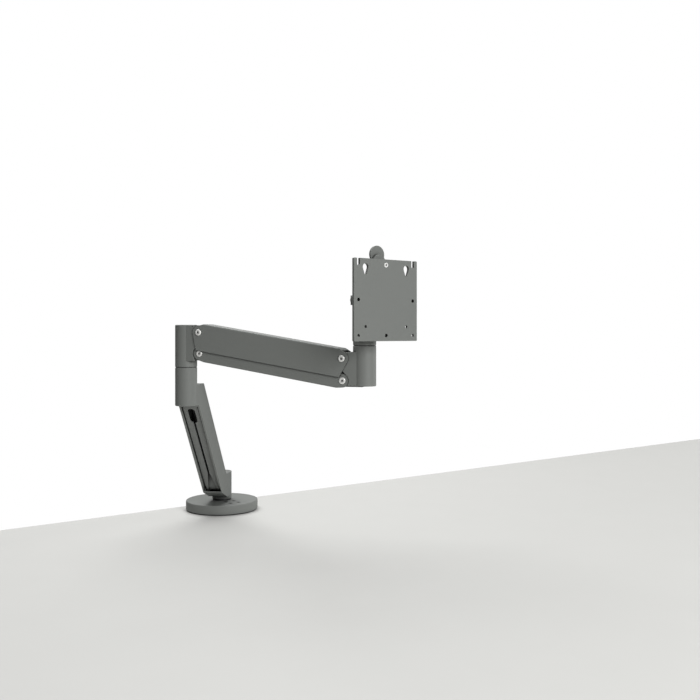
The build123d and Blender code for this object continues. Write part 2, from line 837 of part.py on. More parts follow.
def pivot_screw(ear, wall_inner, wall, head, x, z):
    # Shoulder screw: the shoulder carries the link's wall and the shank sits in the fork's ear.
    shoulder_end = wall_inner + wall + wall_play
    screw = cross_pin(pivot_shank_radius, pivot_shank_end, ear, x, z)
    screw += cross_pin(pivot_shoulder_radius, ear, shoulder_end, x, z)
    cap = cross_pin(pivot_head_radius, shoulder_end, shoulder_end + head, x, z)
    outer = cap.faces().sort_by(Axis.Y)[-1].edges()
    screw += chamfer(outer, pivot_head_edge)
    top = shoulder_end + head
    socket = Plane.XZ.offset(-top) * Pos(x, z) * RegularPolygon(pivot_socket_radius, 6)
    return screw - extrude(socket, amount=pivot_socket_depth)


def pivot_screw_set(x, upper, lower):
    high = pivot_screw(upper_ear, top_wall_inner, top_wall, upper_head, x, upper)
    low = pivot_screw(lower_ear, under_wall_inner, under_wall, lower_head, x, lower)
    return [high, low, mirror(high, about=Plane.XZ), mirror(low, about=Plane.XZ)]


def head_levels():
    cap_inner = head_bottom + cap_thickness + cap_skirt
    spindle_end = cap_inner + retaining_head + retainer_thickness + screw_head_gap
    flange_low = spindle_end + end_play
    return spindle_end, flange_low, flange_low + bush_flange


def make_head_knuckle():
    barrel = post(barrel_radius, head_bottom, head_top)
    barrel = soften_rims(barrel, [head_bottom, head_top], barrel_edge)
    far_lower = far_pivot - pivot_spacing
    bracket = fork_bracket(far_pivot, far_lower, head_bottom + barrel_edge, far_pivot + head_bracket_rise)
    slot_zone = (far_lower - ear_nose - fork_slot_over, far_pivot + ear_nose + fork_slot_over)
    slot = block((pivot_offset - ear_nose, 2 * pivot_offset), (-ear_inner, ear_inner), slot_zone)
    bracket -= slot
    bracket -= pivot_holes(pivot_offset, far_pivot, far_lower)
    knuckle = barrel + Rot(0, 0, 180) * bracket
    _, _, flange_high = head_levels()
    knuckle -= post(bush_radius + seat_clearance, flange_high, head_top)
    knuckle -= post(cap_radius, head_bottom, flange_high)
    return knuckle


# Parallel links, drawn along +X from their pivot at the elbow
def make_top_channel():
    middle = (link_length / 2, 0)
    ends = [(0, 0), (link_length, 0)]
    outline = hull(*(circle_edge(p, top_end_radius, middle) for p in ends),
                   segment((0, -top_skirt), (link_length, -top_skirt)),
                   segment((web_setback, top_rise), (link_length - web_setback, top_rise)))
    outer_half = top_wall_inner + top_wall
    shell = side_slab(outline, -outer_half, outer_half)
    shell = fillet(shell.edges().filter_by(Axis.X).group_by(Axis.Z)[-1], top_edge_round)
    deep = top_skirt + top_rise
    reach = (-2 * top_end_radius, link_length + 2 * top_end_radius)
    inside = block(reach, (-top_wall_inner, top_wall_inner), (-deep, top_rise - top_wall))
    upper_edges = inside.edges().filter_by(Axis.X).group_by(Axis.Z)[-1]
    shell -= fillet(upper_edges, top_edge_round - top_wall)
    for low, high in ((reach[0], web_setback), (link_length - web_setback, reach[1])):
        shell -= block((low, high), (-top_wall_inner, top_wall_inner), (-deep, deep))
    shell += side_slab(web_lip(), -top_wall_inner, top_wall_inner)
    for x, z in ends:
        shell -= cross_pin(pivot_shoulder_radius + running_clearance, -outer_half, outer_half, x, z)
    shell -= cross_pin(anchor_radius + seat_clearance, -outer_half, outer_half, *anchor_place)
    return shell


def web_lip():
    # At the head the web goes on down the walls' sloping ends, in the same thickness.
    tangent = math.atan2(top_rise, -web_setback)
    tangent -= math.acos(top_end_radius / math.hypot(top_rise, web_setback))
    fall = 1 / math.tan(tangent)
    start = link_length - web_setback
    end = link_length - web_lip_end
    outer_end = top_rise - (end - start) * fall
    below = top_wall * math.hypot(1, fall)
    inner_start = start + (top_wall - below) / fall
    back = inner_start - cut_over
    under = top_rise - top_wall
    return outline_of([(back, top_rise), (start, top_rise), (end, outer_end), (end, outer_end - below),
                       (inner_start, under), (back, under)])


def make_anchor_pin():
    half = top_wall_inner + top_wall
    return cross_pin(anchor_radius, -half, half, *anchor_place)


def make_under_channel():
    middle = (link_length / 2, 0)
    ends = [(0, 0), (link_length, 0)]
    outline = hull(*(circle_edge(p, under_end_radius, middle) for p in ends),
                   segment((under_setback, -under_depth), (link_length - under_setback, -under_depth)))
    outer_half = under_wall_inner + under_wall
    shell = side_slab(outline, -outer_half, outer_half)
    shell = fillet(shell.edges().filter_by(Axis.X).group_by(Axis.Z)[0], under_edge_round)
    reach = (-2 * under_end_radius, link_length + 2 * under_end_radius)
    high = 2 * under_end_radius
    inside = block(reach, (-under_wall_inner, under_wall_inner), (-under_depth + under_wall, high))
    lower_edges = inside.edges().filter_by(Axis.X).group_by(Axis.Z)[0]
    shell -= fillet(lower_edges, under_edge_round - under_wall)
    for low, far in ((reach[0], under_setback), (link_length - under_setback, reach[1])):
        shell -= block((low, far), (-under_wall_inner, under_wall_inner), (-high, high))
    for x, z in ends:
        shell -= cross_pin(pivot_shoulder_radius + running_clearance, -outer_half, outer_half, x, z)
    return shell


# Gas spring, drawn along +X from its foot pin
def spring_line():
    # Foot and anchor in the elbow's side view, with the spring's slope and length between them.
    foot = (pivot_offset + spring_foot[0], upper_pivot + spring_foot[1])
    along, above = anchor_place
    anchor_x = pivot_offset + along * math.cos(pitch) - above * math.sin(pitch)
    anchor_z = upper_pivot + along * math.sin(pitch) + above * math.cos(pitch)
    slope = math.degrees(math.atan2(anchor_z - foot[1], anchor_x - foot[0]))
    return foot, slope, math.hypot(anchor_x - foot[0], anchor_z - foot[1])


def spring_frame():
    foot, slope, _ = spring_line()
    return elbow_frame * Pos(foot[0], 0, foot[1]) * Rot(0, -slope, 0)


def make_spring_tube():
    tube = axle(tube_radius, tube_start, tube_start + tube_length)
    tube = chamfer(tube.edges().filter_by(GeomType.CIRCLE), tube_edge)
    tube -= axle(tube_bore_radius, tube_start + tube_cap, tube_start + tube_length)
    flats = block((0, tube_start), (-eye_half, eye_half), (-neck_radius, neck_radius))
    neck = axle(neck_radius, 0, tube_start) & flats
    eye = cross_pin(eye_radius, -eye_half, eye_half)
    return tube + neck + eye - cross_pin(foot_pin_radius + running_clearance, -eye_half, eye_half)


def gland_start():
    return tube_start + tube_length - gland_length


def make_spring_gland():
    ring = axle(tube_bore_radius - seat_clearance, gland_start(), gland_start() + gland_length)
    return ring - axle(rod_radius + running_clearance, gland_start(), gland_start() + gland_length)


def make_spring_rod():
    # Piston in the tube, and an eye at the anchor whose slot takes up the open pivot's play.
    reach = spring_line()[2]
    rod = axle(rod_radius, piston_place, reach - rod_end_gap)
    piston_range = (piston_place - piston_length / 2, piston_place + piston_length / 2)
    rod += axle(tube_bore_radius - running_clearance, *piston_range)
    rod += Pos(reach, 0, 0) * cross_pin(rod_eye_radius, -rod_eye_half, rod_eye_half)
    slot_height = 2 * anchor_radius + rod_slot_height
    slot_width = 2 * anchor_radius + rod_slot_play
    slot = Pos(reach, 0) * Rot(0, 0, 90) * SlotOverall(slot_height, slot_width)
    return rod - side_slab(slot, -rod_eye_half, rod_eye_half)


def make_adjuster_nut():
    foot = spring_line()[0]
    low, high = foot[1] - nut_height / 2, foot[1] + nut_height / 2
    clear = eye_radius + eye_room
    body = block((slot_start + nut_gap, foot[0]), (-nut_half, nut_half), (low, high))
    body += cross_pin(nut_height / 2, -nut_half, nut_half, *foot)
    sides = (-eye_half - free_clearance, eye_half + free_clearance)
    body -= block((foot[0] - clear, foot[0] + nut_height), sides, (low - cut_over, high + cut_over))
    body += cross_pin(foot_pin_radius, -nut_half, nut_half, *foot)
    return body - post(adjuster_radius + seat_clearance, low, high, adjuster_x)


def adjuster_seat():
    return knuckle_top - barrel_edge - adjuster_head - adjuster_sink


def make_adjuster_screw():
    seat = adjuster_seat()
    top = seat + adjuster_head
    head = post(adjuster_head_radius, seat, top, adjuster_x)
    head = chamfer(rims_at(head, top), adjuster_head_edge)
    shank = post(adjuster_radius, seat - adjuster_tail, seat, adjuster_x)
    key = extrude(RegularPolygon(socket_radius, 6), adjuster_socket_depth)
    return head + shank - Pos(adjuster_x, 0, top - adjuster_socket_depth) * key


# Swivel head, tilt and plate
def make_swivel_head():
    barrel = post(barrel_radius, swivel_bottom, swivel_top)
    barrel = soften_rims(barrel, [swivel_bottom], barrel_edge)
    barrel = fillet(rims_at(barrel, swivel_top), swivel_crown)
    tube = axle(tilt_tube_radius, -tilt_tube_half, tilt_tube_half, -tilt_forward, tilt_z)
    half = neck_width / 2
    points = [(0, swivel_bottom + neck_start), (-tilt_forward, tilt_z - tilt_tube_radius)]
    points += [(-tilt_forward, tilt_z + neck_rise), (0, swivel_top - neck_drop)]
    neck = extrude(Plane.YZ.offset(-half) * outline_of(points), amount=neck_width)
    head = barrel + tube + neck
    head -= post(spindle_radius + seat_clearance, swivel_bottom, swivel_bottom + swivel_depth)
    head -= cross_pin(grub_radius + seat_clearance, 0, barrel_radius, 0, swivel_bottom + swivel_depth / 2)
    bore = tilt_axle_radius + running_clearance
    return head - axle(bore, -tilt_tube_half, tilt_tube_half, -tilt_forward, tilt_z)


def make_head_spindle():
    spindle_end = head_levels()[0]
    body = post(spindle_radius, spindle_end, swivel_bottom + swivel_depth)
    body = chamfer(body.edges().filter_by(GeomType.CIRCLE), spindle_chamfer)
    return body - post(retaining_shank_radius, spindle_end, spindle_end + tapped_depth)


def make_grub_screw():
    grub_z = swivel_bottom + swivel_depth / 2
    end = barrel_radius - grub_sink
    screw = cross_pin(grub_radius, spindle_radius + seat_clearance, end, 0, grub_z)
    socket = Plane.XZ.offset(-end) * Pos(0, grub_z) * RegularPolygon(grub_socket_radius, 6)
    return screw - extrude(socket, amount=grub_socket_depth)


def make_tilt_axle():
    half = tilt_tube_half + friction_washer + washer_gap + tilt_ear + tilt_nut + axle_end
    rod = axle(tilt_axle_radius, -half, half)
    return chamfer(rod.edges().filter_by(GeomType.CIRCLE), axle_edge)


def make_friction_washers():
    ring = axle(friction_washer_radius, tilt_tube_half, tilt_tube_half + friction_washer)
    ring -= axle(tilt_axle_radius + seat_clearance, tilt_tube_half, tilt_tube_half + friction_washer)
    return [ring, mirror(ring, about=Plane.YZ)]


def make_tilt_nuts():
    start = tilt_tube_half + friction_washer + washer_gap + tilt_ear
    across = tilt_nut_across / 2
    hexagon = Rot(0, 0, 30) * RegularPolygon(across, 6, major_radius=False)
    nut = extrude(Plane.YZ.offset(start) * hexagon, amount=tilt_nut)
    nut -= axle(tilt_axle_radius + seat_clearance, start, start + tilt_nut)
    return [nut, mirror(nut, about=Plane.YZ)]


def carrier_depths():
    back_of_plate = -plate_front + plate_thickness
    return back_of_plate, back_of_plate + carrier_thickness


def latch_depths():
    middle = -plate_front + latch_set_back
    return middle - latch_thickness / 2, middle + latch_thickness / 2


def make_tilt_bracket():
    # Pressed carrier: a cross of two bands behind the plate, a shelf folded back for the latch,
    # and an ear at each end of the tube.
    front, back = carrier_depths()
    inner = tilt_tube_half + friction_washer + washer_gap
    outer = inner + tilt_ear
    band = RectangleRounded(2 * carrier_half_width, 2 * carrier_half_height, carrier_corner)
    band += RectangleRounded(2 * tongue_half, 2 * tongue_reach, carrier_corner)
    band += Pos(0, shelf_rise / 2) * Rectangle(2 * shelf_half, shelf_rise)
    band -= Pos(0, vesa_large / 2) * Circle(side_hole_radius)
    shelf_z = (shelf_rise - carrier_thickness, shelf_rise)
    shelf = block((-shelf_half, shelf_half), (front, shelf_back), shelf_z)
    root = carrier_half_height - ear_root_inset
    ear_outline = hull(circle_edge((0, 0), tilt_ear_radius, (front, 0)),
                       segment((front, -root), (front, root)))
    ear = extrude(Plane.YZ.offset(inner) * ear_outline, amount=tilt_ear)
    bracket = face_slab(band, front, back) + shelf + ear + mirror(ear, about=Plane.YZ)
    bracket -= axle(tilt_axle_radius + seat_clearance, -outer, outer)
    latch_front, latch_back = latch_depths()
    slot_x = (-latch_stem_half - free_clearance, latch_stem_half + free_clearance)
    slot_y = (latch_front - free_clearance, latch_back + free_clearance)
    return bracket - block(slot_x, slot_y, shelf_z)


def make_vesa_plate():
    edge = plate_size / 2
    sheet = RectangleRounded(plate_size, plate_size, plate_corner)
    large, small = vesa_large / 2, vesa_small / 2
    for x in (-large, large):
        sheet -= Pos(x, -large) * Circle(vesa_hole_radius)
        slot = Pos(x, large) * Circle(vesa_slot_width / 2)
        slot += Pos(x, (large + edge + cut_over) / 2) * Rectangle(vesa_slot_width, edge + cut_over - large)
        sheet -= slot
    for x in (-small, small):
        sheet -= Pos(x, -small) * Circle(vesa_hole_radius)
        middle = (x, small + keyhole_rise / 2)
        sheet -= hull(circle_edge((x, small), vesa_hole_radius, middle),
                      circle_edge((x, small + keyhole_rise), keyhole_radius, middle))
    for x, z in ((-large, 0), (large, 0), (0, -large), (0, large)):
        sheet -= Pos(x, z) * Circle(side_hole_radius)
    return face_slab(sheet, -plate_front, -plate_front + plate_thickness) - plate_screw_head(seat_clearance)


def plate_screw_head(extra):
    # Countersunk head, flush with the plate's face.
    cone = Cone(side_hole_radius, plate_screw_head_radius + extra, plate_screw_sink)
    return Pos(0, -plate_front + plate_screw_sink / 2, vesa_large / 2) * Rot(90, 0, 0) * cone


def make_plate_screw():
    # Holds the plate to the carrier above the tube.
    end = carrier_depths()[1]
    height = vesa_large / 2
    screw = plate_screw_head(0)
    screw += cross_pin(side_hole_radius - seat_clearance, -plate_front + plate_screw_sink / 2, end, 0, height)
    socket = Plane.XZ.offset(plate_front) * Pos(0, height) * RegularPolygon(plate_socket_radius, 6)
    return screw - extrude(socket, amount=-plate_socket_depth)


def stop_pin_height():
    # The pin meets the shelf's underside when the latch is fully raised.
    return shelf_rise - carrier_thickness - latch_travel - stop_pin_radius


def make_latch():
    # Flat latch through the carrier's shelf, with a round finger tab and a boss above the plate.
    front, back = latch_depths()
    seat = shelf_rise + latch_rest_gap
    shape = Rectangle(2 * latch_stem_half, latch_tab_rise - latch_foot, align=(Align.CENTER, Align.MAX))
    shape += Rectangle(2 * latch_neck_half, latch_tab_rise - seat, align=(Align.CENTER, Align.MAX))
    shape = Pos(0, latch_tab_rise) * shape
    shape += Pos(0, latch_tab_rise) * Circle(latch_tab_radius)
    boss = cross_pin(latch_boss_radius, front - latch_boss_depth, front, 0, latch_boss_rise)
    boss = fillet(boss.faces().sort_by(Axis.Y)[0].edges(), latch_boss_round)
    hole = cross_pin(stop_pin_radius + seat_clearance, front, back, 0, stop_pin_height())
    return face_slab(shape, front, back) + boss - hole


def make_stop_pin():
    middle = -plate_front + latch_set_back
    ends = (middle - stop_pin_half, middle + stop_pin_half)
    return cross_pin(stop_pin_radius, *ends, 0, stop_pin_height())


def write(name, frame, shape):
    placed = [frame * solid for solid in shape] if isinstance(shape, list) else [frame * shape]
    solids = [solid for piece in placed for solid in piece.solids()]
    export_step(Compound(children=solids) if len(solids) > 1 else solids[0], f"parts/{name}.step")


def main():
    os.makedirs("parts", exist_ok=True)
    here = Pos(0, 0, 0)
    base_end, base_flange_high, base_flange_low = base_levels()
    elbow_end, elbow_flange_high, elbow_flange_low = elbow_levels()
    head_end, head_flange_low, head_flange_high = head_levels()
    lower_elbow = lower_frame * Pos(lower_reach, 0, 0)

    write("base_disc", here, make_base_disc())
    write("base_pad", here, make_base_pad())
    write("base_disc_screws", here, make_disc_screws())
    write("base_spindle", here, make_base_spindle())
    write("base_retaining_washer", here, retaining_washer(base_end, 1))
    write("base_retaining_screw", here, retaining_screw(base_end, 1))
    write("clamp_bracket", here, make_clamp_bracket())
    write("clamp_pad", here, make_clamp_pad())
    write("clamp_pad_rubber", here, make_clamp_rubber())
    write("clamp_screw", here, make_clamp_screw())
    write("clamp_handle", here, make_clamp_handle())

    write("base_thrust_washer", here, seam_ring(disc_top, thrust_washer, thrust_washer_radius))
    write("lower_link", lower_frame, make_lower_link())
    write("lower_cable_cover", lower_frame, make_lower_cover())
    write("base_bush_lower", here, plain_bush(base_barrel_bottom, base_barrel_bottom + bush_length))
    bush_start = base_flange_low - bush_length
    base_bush = flanged_bush(bush_start, base_flange_low, base_flange_low, base_flange_high)
    write("base_bush_upper", here, base_bush)
    write("base_cap", here, barrel_cap(base_barrel_top, 1))
    write("elbow_spindle", lower_elbow, make_elbow_spindle())
    write("elbow_plug", lower_elbow, make_elbow_plug())
    write("elbow_washer", lower_elbow, seam_ring(elbow_barrel_top, seam_washer, seam_washer_radius))
    write("elbow_retaining_washer", lower_elbow, retaining_washer(elbow_end, 1))
    write("elbow_retaining_screw", lower_elbow, retaining_screw(elbow_end, 1))

    write("elbow_knuckle", elbow_frame, make_elbow_knuckle())
    write("elbow_bush_lower", elbow_frame, plain_bush(knuckle_bottom, knuckle_bottom + bush_length))
    bush_start = elbow_flange_low - bush_length
    elbow_bush = flanged_bush(bush_start, elbow_flange_low, elbow_flange_low, elbow_flange_high)
    write("elbow_bush_upper", elbow_frame, elbow_bush)
    write("elbow_cap", elbow_frame, barrel_cap(knuckle_top, 1))
    write("elbow_pivot_screws", elbow_frame, pivot_screw_set(pivot_offset, upper_pivot, lower_pivot))
    write("lift_adjuster_screw", elbow_frame, make_adjuster_screw())
    write("lift_adjuster_nut", elbow_frame, make_adjuster_nut())

    write("arm_top_channel", top_link_frame, make_top_channel())
    write("spring_anchor_pin", top_link_frame, make_anchor_pin())
    write("arm_under_channel", under_link_frame, make_under_channel())
    write("gas_spring_tube", spring_frame(), make_spring_tube())
    write("gas_spring_gland", spring_frame(), make_spring_gland())
    write("gas_spring_rod", spring_frame(), make_spring_rod())

    write("head_knuckle", head_frame, make_head_knuckle())
    far_lower = far_pivot - pivot_spacing
    write("head_pivot_screws", head_frame, pivot_screw_set(-pivot_offset, far_pivot, far_lower))
    write("head_bush_upper", head_frame, plain_bush(head_top - bush_length, head_top))
    bush_end = head_flange_high + bush_length
    head_bush = flanged_bush(head_flange_high, bush_end, head_flange_low, head_flange_high)
    write("head_bush_lower", head_frame, head_bush)
    write("head_cap", head_frame, barrel_cap(head_bottom, -1))
    write("head_washer", head_frame, seam_ring(head_top, seam_washer, seam_washer_radius))

    write("swivel_head", swivel_frame, make_swivel_head())
    write("head_spindle", swivel_frame, make_head_spindle())
    write("head_grub_screw", swivel_frame, make_grub_screw())
    write("head_retaining_washer", swivel_frame, retaining_washer(head_end, -1))
    write("head_retaining_screw", swivel_frame, retaining_screw(head_end, -1))

    write("tilt_axle", tilt_frame, make_tilt_axle())
    write("tilt_friction_washers", tilt_frame, make_friction_washers())
    write("tilt_nuts", tilt_frame, make_tilt_nuts())
    write("tilt_bracket", tilt_frame, make_tilt_bracket())
    write("vesa_plate", tilt_frame, make_vesa_plate())
    write("plate_screw", tilt_frame, make_plate_screw())
    write("release_latch", tilt_frame, make_latch())
    write("latch_stop_pin", tilt_frame, make_stop_pin())


main()
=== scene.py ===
import json
import math

import bmesh
import bpy
from mathutils import Matrix, Vector


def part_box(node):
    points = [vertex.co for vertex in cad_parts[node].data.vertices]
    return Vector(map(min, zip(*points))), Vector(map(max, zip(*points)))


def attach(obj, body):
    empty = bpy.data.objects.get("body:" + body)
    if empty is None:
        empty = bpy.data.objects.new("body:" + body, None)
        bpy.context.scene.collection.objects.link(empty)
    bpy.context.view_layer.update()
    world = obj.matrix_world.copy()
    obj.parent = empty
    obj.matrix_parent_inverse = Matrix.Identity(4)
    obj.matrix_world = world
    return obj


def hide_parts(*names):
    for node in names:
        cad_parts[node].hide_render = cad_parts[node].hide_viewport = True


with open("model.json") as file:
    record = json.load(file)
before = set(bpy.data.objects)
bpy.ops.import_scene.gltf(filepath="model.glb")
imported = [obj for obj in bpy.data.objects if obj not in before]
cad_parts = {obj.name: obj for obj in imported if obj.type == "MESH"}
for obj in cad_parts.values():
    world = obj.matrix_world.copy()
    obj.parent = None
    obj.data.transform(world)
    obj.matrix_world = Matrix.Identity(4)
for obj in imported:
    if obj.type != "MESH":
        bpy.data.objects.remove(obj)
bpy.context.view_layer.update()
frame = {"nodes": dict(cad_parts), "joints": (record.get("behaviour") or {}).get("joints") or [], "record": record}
nodes = frame["nodes"]
joints = {joint["name"]: joint for joint in frame["joints"]}
scene = bpy.context.scene
print("frame loaded", len(nodes), "nodes")


# shared shader effects, each a node group that is placed in the finishes below

def newGroup(name, inputs, outputs):
    group = bpy.data.node_groups.new(name, "ShaderNodeTree")
    for label, value in inputs:
        socket = group.interface.new_socket(label, in_out="INPUT", socket_type="NodeSocketFloat")
        socket.default_value = value
    for label, kind in outputs:
        group.interface.new_socket(label, in_out="OUTPUT", socket_type=kind)
    start = group.nodes.new("NodeGroupInput")
    end = group.nodes.new("NodeGroupOutput")
    return group, start, end


def addNode(tree, kind, **settings):
    node = tree.nodes.new(kind)
    for key, value in settings.items():
        setattr(node, key, value)
    return node


def addMath(tree, operation, first, second, clamp=False):
    node = addNode(tree, "ShaderNodeMath", operation=operation, use_clamp=clamp)
    for socket, value in zip(node.inputs, (first, second)):
        if isinstance(value, (int, float)):
            socket.default_value = value
        else:
            tree.links.new(value, socket)
    return node.outputs[0]


def addNoise(tree, vector, scale, detail, roughness):
    node = addNode(tree, "ShaderNodeTexNoise")
    node.inputs["Detail"].default_value = detail
    node.inputs["Roughness"].default_value = roughness
    tree.links.new(vector, node.inputs["Vector"])
    if isinstance(scale, (int, float)):
        node.inputs["Scale"].default_value = scale
    else:
        tree.links.new(scale, node.inputs["Scale"])
    return node.outputs["Fac"]


def makeCoatGrain():
    # orange peel of a baked powder coat, with a slow drift in shade
    finer, driftScale, speckShare = 3.1, 14.0, 0.3
    group, start, end = newGroup(
        "coatGrain", [("Peel Scale", 900.0), ("Grit", 0.4), ("Drift", 0.5)],
        [("Height", "NodeSocketFloat"), ("Shade", "NodeSocketFloat")])
    where = addNode(group, "ShaderNodeTexCoord").outputs["Object"]
    peel = addNoise(group, where, start.outputs["Peel Scale"], 2.0, 0.45)
    fineScale = addMath(group, "MULTIPLY", start.outputs["Peel Scale"], finer)
    fine = addNoise(group, where, fineScale, 2.0, 0.6)
    gritty = addMath(group, "MULTIPLY", fine, start.outputs["Grit"])
    group.links.new(addMath(group, "ADD", peel, gritty), end.inputs["Height"])
    slow = addNoise(group, where, driftScale, 3.0, 0.5)
    spread = addMath(group, "SUBTRACT", slow, 0.5)
    drift = addMath(group, "MULTIPLY", spread, start.outputs["Drift"])
    speck = addMath(group, "MULTIPLY", addMath(group, "SUBTRACT", fine, 0.5), speckShare)
    both = addMath(group, "ADD", drift, speck)
    group.links.new(addMath(group, "ADD", both, 0.5, True), end.inputs["Shade"])
    return group


def makeEdgeWearHighlight():
    # how far a rounded normal turns from the face tells where an edge is; the mask lightens edges, partly wear and
    # partly a painted highlight
    gain, patchScale = 5.0, 160.0
    group, start, end = newGroup(
        "edgeWearHighlight", [("Radius", 0.0006), ("Amount", 1.0)],
        [("Mask", "NodeSocketFloat"), ("Normal", "NodeSocketVector")])
    bevel = addNode(group, "ShaderNodeBevel", samples=6)
    group.links.new(start.outputs["Radius"], bevel.inputs["Radius"])
    face = addNode(group, "ShaderNodeNewGeometry")
    dot = addNode(group, "ShaderNodeVectorMath", operation="DOT_PRODUCT")
    group.links.new(bevel.outputs["Normal"], dot.inputs[0])
    group.links.new(face.outputs["True Normal"], dot.inputs[1])
    turned = addMath(group, "SUBTRACT", 1.0, dot.outputs["Value"])
    where = addNode(group, "ShaderNodeTexCoord").outputs["Object"]
    patchy = addNoise(group, where, patchScale, 3.0, 0.6)
    edgeWearLit = addMath(group, "MULTIPLY", addMath(group, "MULTIPLY", turned, gain), patchy)
    group.links.new(addMath(group, "MULTIPLY", edgeWearLit, start.outputs["Amount"], True), end.inputs["Mask"])
    group.links.new(bevel.outputs["Normal"], end.inputs["Normal"])
    return group


def makeCornerShade():
    # painted shade in inside corners, recesses and gaps between parts, deeper where ambient occlusion is stronger
    group, start, end = newGroup(
        "cornerShade", [("Distance", 0.010), ("Start", 0.15), ("Amount", 1.4)],
        [("Mask", "NodeSocketFloat")])
    closed = addNode(group, "ShaderNodeAmbientOcclusion", samples=6)
    group.links.new(start.outputs["Distance"], closed.inputs["Distance"])
    shut = addMath(group, "SUBTRACT", 1.0, closed.outputs["AO"])
    deep = addMath(group, "SUBTRACT", shut, start.outputs["Start"])
    group.links.new(addMath(group, "MULTIPLY", deep, start.outputs["Amount"], True), end.inputs["Mask"])
    return group


def makeTurnMarks():
    # fine tool marks on turned or drawn metal
    group, start, end = newGroup(
        "turnMarks", [("Scale", 1500.0), ("Depth", 1.0)],
        [("Height", "NodeSocketFloat"), ("Streak", "NodeSocketFloat")])
    where = addNode(group, "ShaderNodeTexCoord").outputs["Object"]
    stretch = addNode(group, "ShaderNodeMapping")
    stretch.inputs["Scale"].default_value = (0.12, 0.12, 1.0)
    group.links.new(where, stretch.inputs["Vector"])
    streak = addNoise(group, stretch.outputs["Vector"], start.outputs["Scale"], 3.0, 0.6)
    group.links.new(addMath(group, "MULTIPLY", streak, start.outputs["Depth"]), end.inputs["Height"])
    group.links.new(streak, end.inputs["Streak"])
    return group


def makeHandling():
    # dull smears where hands move the arm, and a few hair scratches in the coat
    thinness, smearedFrom = 60.0, 0.6
    group, start, end = newGroup(
        "handling", [("Smear Scale", 30.0), ("Scratch Scale", 260.0), ("Amount", 0.5)],
        [("Smear", "NodeSocketFloat"), ("Scratch", "NodeSocketFloat")])
    where = addNode(group, "ShaderNodeTexCoord").outputs["Object"]
    smear = addNoise(group, where, start.outputs["Smear Scale"], 4.0, 0.62)
    group.links.new(smear, end.inputs["Smear"])
    lean = addNode(group, "ShaderNodeMapping")
    lean.inputs["Rotation"].default_value = (0.4, 0.7, 0.3)
    lean.inputs["Scale"].default_value = (0.05, 1.0, 0.6)
    group.links.new(where, lean.inputs["Vector"])
    line = addNoise(group, lean.outputs["Vector"], start.outputs["Scratch Scale"], 2.0, 0.5)
    away = addMath(group, "ABSOLUTE", addMath(group, "SUBTRACT", line, 0.5), 0.0)
    thin = addMath(group, "SUBTRACT", 1.0, addMath(group, "MULTIPLY", away, thinness), True)
    sparse = addMath(group, "GREATER_THAN", smear, smearedFrom)
    kept = addMath(group, "MULTIPLY", thin, sparse)
    group.links.new(addMath(group, "MULTIPLY", kept, start.outputs["Amount"], True), end.inputs["Scratch"])
    return group


effects = {
    "coatGrain": makeCoatGrain(), "edgeWearHighlight": makeEdgeWearHighlight(), "cornerShade": makeCornerShade(),
    "turnMarks": makeTurnMarks(), "handling": makeHandling(),
}
print("shader groups", len(effects))


def placeEffect(tree, name, **values):
    node = addNode(tree, "ShaderNodeGroup", node_tree=effects[name])
    for label, value in values.items():
        node.inputs[label.replace("_", " ")].default_value = value
    return node


def mixColour(tree, factor, first, second):
    node = addNode(tree, "ShaderNodeMix", data_type="RGBA")
    tree.links.new(factor, node.inputs["Factor"])
    for socket, value in ((node.inputs[6], first), (node.inputs[7], second)):
        if isinstance(value, tuple):
            socket.default_value = (*value, 1.0)
        else:
            tree.links.new(value, socket)
    return node.outputs[2]


def spreadValue(tree, source, low, high):
    node = addNode(tree, "ShaderNodeMapRange")
    node.inputs["To Min"].default_value = low
    node.inputs["To Max"].default_value = high
    tree.links.new(source, node.inputs["Value"])
    return node.outputs["Result"]


def startFinish(name):
    material = bpy.data.materials.new(name)
    material.use_nodes = True
    tree = material.node_tree
    return material, tree, tree.nodes["Principled BSDF"]


def addBump(tree, shader, height, strength, distance, normal):
    bump = addNode(tree, "ShaderNodeBump")
    bump.inputs["Strength"].default_value = strength
    bump.inputs["Distance"].default_value = distance
    tree.links.new(height, bump.inputs["Height"])
    tree.links.new(normal, bump.inputs["Normal"])
    tree.links.new(bump.outputs["Normal"], shader.inputs["Normal"])


def scaleColour(colour, share):
    return tuple(part * share for part in colour)


shadeTone = 0.08  # what painted shade in a corner leaves of the colour
paint = {"dark": (0.150, 0.158, 0.150), "light": (0.182, 0.190, 0.180), "wearAndHighlight": (0.30, 0.305, 0.295),
         "shadeReach": 0.012, "shadeStart": 0.2, "paintedShade": 2.4, "discShade": 0.5, "scratches": 0.10,
         "specular": 0.28, "bump": 0.25, "peelTall": 0.00012}


